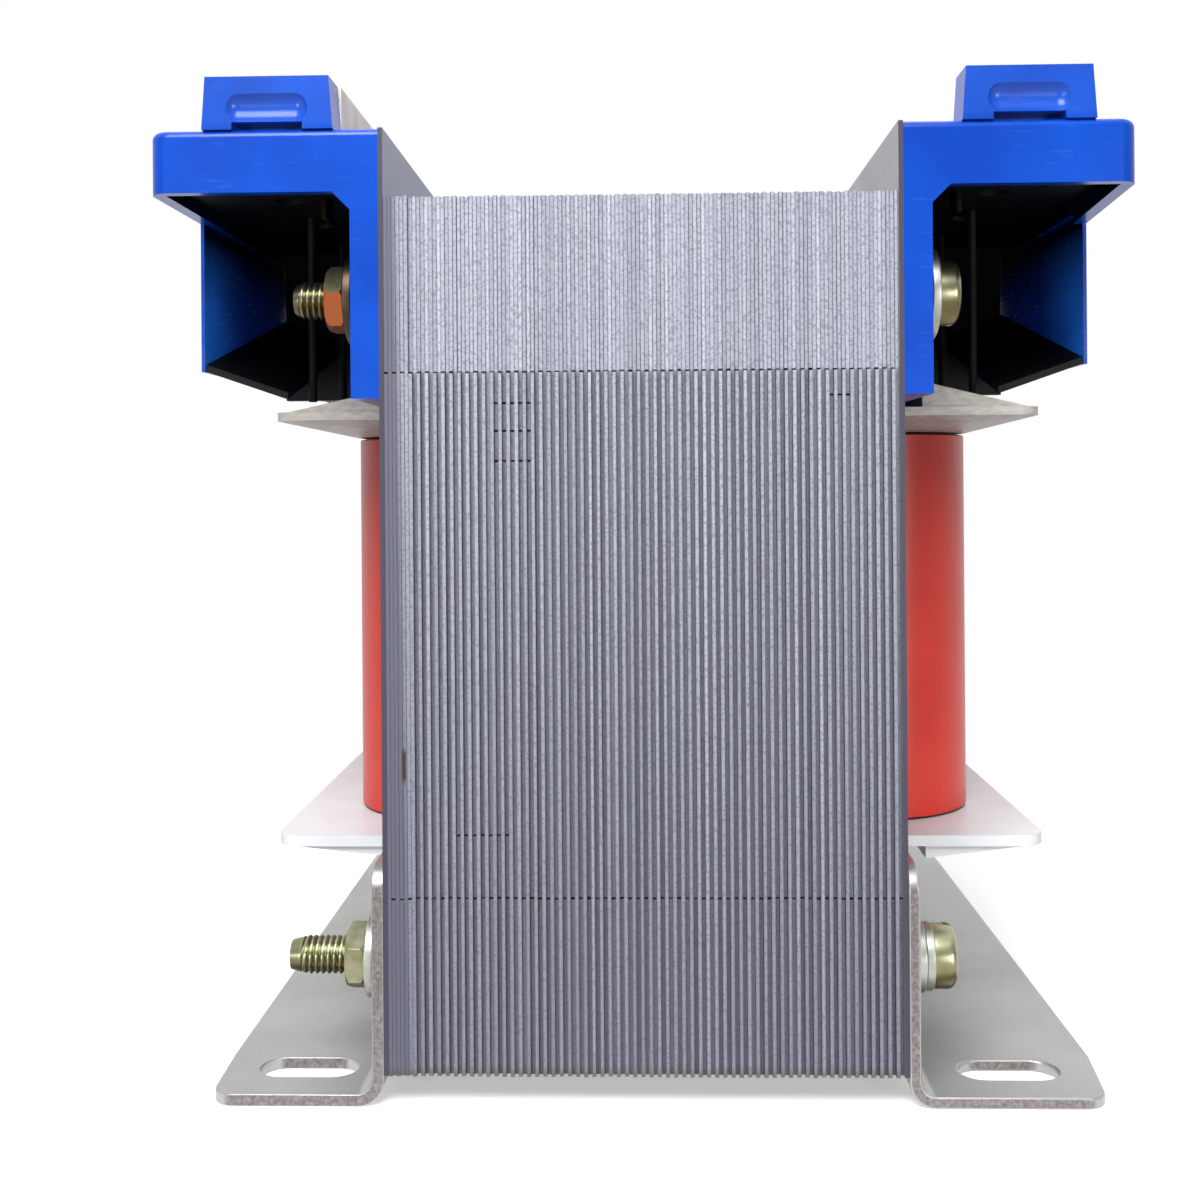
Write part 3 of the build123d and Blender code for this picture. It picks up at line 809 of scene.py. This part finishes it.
def select_edges(piece, wanted):
    """Opens the piece in edit mode with only the wanted edges selected."""
    select_only(piece)
    bpy.ops.object.mode_set(mode="EDIT")
    bpy.ops.mesh.select_mode(type="EDGE")
    bpy.ops.mesh.select_all(action="DESELECT")
    mesh = bmesh.from_edit_mesh(piece.data)
    for edge in mesh.edges:
        edge.select_set(wanted(edge))
    bmesh.update_edit_mesh(piece.data)


def rim_rounded(piece, x, width, segments):
    """Bevels the edges that lie on the plane at x."""
    select_edges(piece, lambda edge: all(abs(end.co.x - x) < ON_PLANE for end in edge.verts))
    bpy.ops.mesh.bevel(offset=width, segments=segments, affect="EDGES")
    bpy.ops.object.mode_set(mode="OBJECT")


def split_along(piece, cuts):
    """Cuts the edges that run along X."""
    select_edges(
        piece, lambda edge: abs(edge.verts[1].co.x - edge.verts[0].co.x) > 0.9 * edge.calc_length()
    )
    bpy.ops.mesh.subdivide(number_cuts=cuts)
    bpy.ops.object.mode_set(mode="OBJECT")


def as_one(pieces, angle):
    """Joins pieces and smooths the faces that meet at less than an angle."""
    select_only(*pieces)
    bpy.ops.object.join()
    piece = bpy.context.active_object
    bpy.ops.object.shade_smooth_by_angle(angle=math.radians(angle))
    return piece


def softened(node, width, segments=2, finish=None):
    """A copy of a node's solid with its sharp edges rounded as moulding or tumbling leaves them."""
    piece = bpy.data.objects.new(node, frame["nodes"][node].data.copy())
    bpy.context.scene.collection.objects.link(piece)
    select_only(piece)
    bpy.ops.object.mode_set(mode="EDIT")
    bpy.ops.mesh.select_all(action="SELECT")
    bpy.ops.mesh.remove_doubles(threshold=MERGE)
    bpy.ops.mesh.dissolve_limited(angle_limit=math.radians(FLAT_ANGLE))
    bpy.ops.object.mode_set(mode="OBJECT")
    with_modifier(
        piece, "BEVEL", width=width, segments=segments, limit_method="ANGLE",
        angle_limit=math.radians(EDGE_ANGLE), use_clamp_overlap=True,
    )
    select_only(piece)
    bpy.ops.object.shade_smooth_by_angle(angle=math.radians(SMOOTH_ANGLE))
    with_modifier(piece, "WEIGHTED_NORMAL", keep_sharp=True, weight=100)
    stand_in(piece, f"{node}_soft_edged", node)
    if finish:
        dress(piece, finish)


def e_sheet():
    """One E: a plate with its two windows cut up to the joint, and its bolt holes."""
    sheet = block(0, SHEET_T, -CORE_HALF, CORE_HALF, core_low.z, JOINT - JOINT_GAP / 2)
    for side in (-1, 1):
        near, far = sorted((side * YOKE, side * 2 * YOKE))
        combined(sheet, block(-PITCH, 2 * PITCH, near, far, core_low.z + YOKE, core_high.z))
        hole = rod(BOLT_HOLE_R, -PITCH, 2 * PITCH, side * BOLT_Y, BOLT_LEVELS[0], HOLE_SIDES)
        combined(sheet, hole)
    return sheet


def i_sheet():
    """One I: the bar that closes an E, with its bolt holes."""
    sheet = block(0, SHEET_T, -CORE_HALF, CORE_HALF, JOINT + JOINT_GAP / 2, core_high.z)
    for side in (-1, 1):
        hole = rod(BOLT_HOLE_R, -PITCH, 2 * PITCH, side * BOLT_Y, BOLT_LEVELS[1], HOLE_SIDES)
        combined(sheet, hole)
    return sheet


def cut_stray_joints(sheet, left):
    """Cuts the near leg of a placed sheet at each stray joint that it belongs to."""
    half = JOINT_GAP / 2
    for start, end, height in STRAY_JOINTS:
        if start < left < end:
            gap = block(
                left - PITCH, left + 2 * PITCH, -CORE_HALF - MM, STRAY_END,
                height - half, height + half,
            )
            combined(sheet, gap)


def lamination_stack():
    """All sheets of the core; upside-down Es and every I sit back, and none sits quite alike."""
    chance = random.Random(7)
    middle = (core_low.z + core_high.z) / 2
    patterns = (e_sheet(), i_sheet())
    pieces = []
    for number in range(SHEETS):
        upright = number % 2 == 0
        for pattern in patterns:
            proud = number < FLUSH_SHEETS or (upright and pattern is patterns[0])
            inset = 0.0 if proud else RECESS
            inset += chance.uniform(*UNEVEN_EDGE) * MM
            slip = chance.uniform(*UNEVEN_SLIP) * MM if inset > RECESS else 0.0
            lift = chance.uniform(*UNEVEN_LIFT) * MM
            copy = bpy.data.objects.new("sheet", pattern.data.copy())
            bpy.context.scene.collection.objects.link(copy)
            left = core_low.x + number * PITCH
            width = (CORE_HALF - inset) / CORE_HALF
            turn = Matrix.Identity(4) if upright else Matrix.Rotation(math.pi, 4, "X")
            to_middle = Matrix.Translation((0, 0, lift)) @ Matrix.Translation((0, 0, -middle))
            place = Matrix.Translation((left, slip, middle)) @ turn
            copy.data.transform(place @ Matrix.Diagonal((1, width, 1, 1)) @ to_middle)
            if not proud and pattern is patterns[0]:
                cut_stray_joints(copy, left)
            pieces.append(copy)
    for pattern in patterns:
        bpy.data.objects.remove(pattern)
    select_only(*pieces)
    bpy.ops.object.join()
    stand_in(bpy.context.active_object, "lamination_stack", "e_laminations", "i_laminations")


def thread(x0, x1, y, z, taper):
    """The threaded end of a bolt, thinner towards its tip at x0."""
    piece = rod(BOLT_R, x0, x1, y, z, THREAD_SIDES)
    split_along(piece, THREAD_TURNS - 1)
    split_along(piece, THREAD_ROWS - 1)
    for vertex in piece.data.vertices:
        across, up = vertex.co.y - y, vertex.co.z - z
        phase = ((vertex.co.x - x0) / THREAD_PITCH + math.atan2(up, across) / math.tau) % 1.0
        crest = min(1.0, THREAD_CREST * abs(2 * phase - 1))
        turned_down = TIP_R + (BOLT_R - TIP_R) * min(1.0, (vertex.co.x - x0) / taper)
        radius = min(BOLT_R - THREAD_DEPTH * (1 - crest), turned_down)
        vertex.co.y = y + across * radius / BOLT_R
        vertex.co.z = z + up * radius / BOLT_R
    return piece


def slotted_head(x0, x1, y, z):
    """A round bolt head with its rim rounded and an upright driver slot."""
    head = rod(HEAD_R, x0, x1, y, z, HEAD_SIDES)
    rim_rounded(head, x1, HEAD_ROUND, segments=5)
    half = DRIVER_SLOT / 2
    slot = block(
        x1 - DRIVER_DEPTH, x1 + HEAD_H, y - half, y + half, z - 2 * HEAD_R, z + 2 * HEAD_R
    )
    combined(head, slot)
    return head


def threaded_bolts(level):
    """The two through-bolts of one level."""
    low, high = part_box(f"{level}_bolts")
    z = (low.z + high.z) / 2
    seat = high.x - HEAD_H
    thread_end = low.x + THREAD_TURNS * THREAD_PITCH
    pieces = []
    for y in (-BOLT_Y, BOLT_Y):
        pieces.append(slotted_head(seat, high.x, y, z))
        pieces.append(rod(BOLT_R, thread_end, seat, y, z, SHANK_SIDES))
        pieces.append(thread(low.x, thread_end, y, z, TIP_TAPER[level]))
    stand_in(as_one(pieces, angle=30), f"{level}_threaded_bolts", f"{level}_bolts")


def hexagon_nuts(level):
    """The two thin nuts of one level, their corners turned off on both faces."""
    low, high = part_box(f"{level}_nuts")
    z = (low.z + high.z) / 2
    corner_r = NUT_FLATS / 2 / math.cos(math.pi / 6)
    turn = math.radians(NUT_TURN[level])
    pieces = []
    for y in (-BOLT_Y, BOLT_Y):
        body = rod(corner_r, low.x, high.x, y, z, 6, turn)
        blank = rod(corner_r, low.x, high.x, y, z, HEAD_SIDES)
        rim_rounded(blank, low.x, NUT_CHAMFER, segments=1)
        rim_rounded(blank, high.x, NUT_CHAMFER, segments=1)
        combined(body, blank, "INTERSECT")
        combined(body, rod(BOLT_R, low.x - MM, high.x + MM, y, z, SHANK_SIDES))
        pieces.append(body)
    stand_in(as_one(pieces, angle=20), f"{level}_hexagon_nuts", f"{level}_nuts")


def white_floor():
    """A pale floor that keeps the soft shadow near the object and is white further off."""
    bpy.ops.mesh.primitive_plane_add(size=FLOOR_SIDE, location=(0, 0, -FLOOR_DROP))
    floor = bpy.context.active_object
    floor.name = "floor"
    material, place = bare_material("pale_paper")
    ray = add_node(material, "ShaderNodeLightPath").outputs
    seen = add_node(
        material, "ShaderNodeMath",
        {0: ray["Is Camera Ray"], 1: ray["Is Glossy Ray"]},
        operation="MAXIMUM",
    ).outputs[0]
    seen = add_node(
        material, "ShaderNodeMath", {0: seen, 1: ray["Is Transmission Ray"]}, operation="MAXIMUM"
    ).outputs[0]
    away = add_node(
        material, "ShaderNodeVectorMath", {0: place}, operation="LENGTH"
    ).outputs["Value"]
    away = add_node(
        material, "ShaderNodeMapRange",
        {"Value": away, "From Min": SHADOW_FADE[0], "From Max": SHADOW_FADE[1]},
        interpolation_type="SMOOTHSTEP",
    ).outputs[0]
    paper = add_node(material, "ShaderNodeBsdfDiffuse", {"Color": linear("#F2F2F2")}).outputs[0]
    glow = add_node(material, "ShaderNodeEmission", {"Strength": 0.4}).outputs[0]
    near = add_node(material, "ShaderNodeAddShader", {0: paper, 1: glow}).outputs[0]
    white = add_node(material, "ShaderNodeEmission", {"Strength": 1.0}).outputs[0]
    shown = add_node(material, "ShaderNodeMixShader", {0: away, 1: near, 2: white}).outputs[0]
    table = add_node(material, "ShaderNodeBsdfDiffuse", {"Color": linear("#A0A0A0")}).outputs[0]
    mix = add_node(material, "ShaderNodeMixShader", {0: seen, 1: table, 2: shown}).outputs[0]
    add_node(material, "ShaderNodeOutputMaterial", {"Surface": mix})
    floor.data.materials.append(material)


def studio_world():
    """White behind the object and above it, and a dimmer room behind the camera."""
    world = bpy.data.worlds.new("studio")
    bpy.context.scene.world = world
    world.use_nodes = True
    world.node_tree.nodes.clear()
    ray = add_node(world, "ShaderNodeLightPath").outputs
    seen = add_node(
        world, "ShaderNodeMath",
        {0: ray["Is Camera Ray"], 1: ray["Is Transmission Ray"]},
        operation="MAXIMUM",
    ).outputs[0]
    ahead = add_node(world, "ShaderNodeTexCoord").outputs["Generated"]
    toward = add_node(
        world, "ShaderNodeVectorMath", {0: ahead, 1: BRIGHT_WAY}, operation="DOT_PRODUCT"
    ).outputs["Value"]
    room = add_node(
        world, "ShaderNodeMapRange",
        {"Value": toward, "From Min": -0.5, "From Max": 0.6, "To Min": 0.08, "To Max": 1.0},
    ).outputs[0]
    diffuse = add_node(
        world, "ShaderNodeMath", {0: ray["Is Diffuse Ray"], 1: -MATT_LOSS}, operation="MULTIPLY"
    ).outputs[0]
    diffuse = add_node(world, "ShaderNodeMath", {0: diffuse, 1: 1.0}, operation="ADD").outputs[0]
    room = add_node(world, "ShaderNodeMath", {0: room, 1: diffuse}, operation="MULTIPLY").outputs[0]
    strength = add_node(world, "ShaderNodeMath", {0: room, 1: seen}, operation="MAXIMUM").outputs[0]
    shown = add_node(
        world, "ShaderNodeBackground", {"Color": linear("#FFFFFF"), "Strength": strength}
    ).outputs[0]
    add_node(world, "ShaderNodeOutputWorld", {"Surface": shown})


def soft_lamp(name, place, size, power):
    """A square soft box that faces the object."""
    data = bpy.data.lights.new(name, "AREA")
    data.size = size
    data.energy = power
    lamp = bpy.data.objects.new(name, data)
    bpy.context.scene.collection.objects.link(lamp)
    lamp.location = place
    lamp.rotation_euler = (Vector(LAMP_TARGET) - Vector(place)).to_track_quat("-Z", "Y").to_euler()


def camera():
    """The photograph's camera: level and close, turned and rolled a little, shifted down."""
    data = bpy.data.cameras.new("camera")
    data.sensor_width = SENSOR
    data.lens = FOCAL_PX / IMAGE_SIDE * SENSOR
    data.shift_y = (HORIZON_PX - IMAGE_SIDE / 2) / IMAGE_SIDE
    data.clip_start = 10 * MM
    piece = bpy.data.objects.new("camera", data)
    bpy.context.scene.collection.objects.link(piece)
    level = Euler((math.pi / 2, 0, math.radians(CAMERA_YAW))).to_matrix()
    piece.location = CAMERA_PLACE
    piece.rotation_euler = (level @ Matrix.Rotation(math.radians(-CAMERA_ROLL), 3, "Z")).to_euler()
    bpy.context.scene.camera = piece


camera()
bpy.context.scene.view_settings.view_transform = "Standard"
white_floor()
studio_world()
for box in SOFT_BOXES:
    soft_lamp(*box)

for node, piece in frame["nodes"].items():
    dress(piece, node_slots[node])

lamination_stack()
for level in ("upper", "lower"):
    threaded_bolts(level)
    hexagon_nuts(level)
    softened(f"{level}_flat_washers", 0.2 * MM, finish="washer_zinc")
    softened(f"{level}_spring_washers", 0.12 * MM, finish="washer_zinc")
for side in ("left", "right"):
    softened(f"{side}_terminal_base", 0.25 * MM)
    softened(f"{side}_terminal_insert", 0.15 * MM)
    softened(f"{side}_terminal_plates", 0.1 * MM)
    softened(f"{side}_terminal_screws", 0.12 * MM)
    softened(f"{side}_clamp_washers", 0.12 * MM)
    softened(f"{side}_foot", 0.4 * MM, segments=3)
softened("left_marker_strip", 0.15 * MM)
softened("bobbin", 0.4 * MM)
softened("coil_wrap", 0.25 * MM)
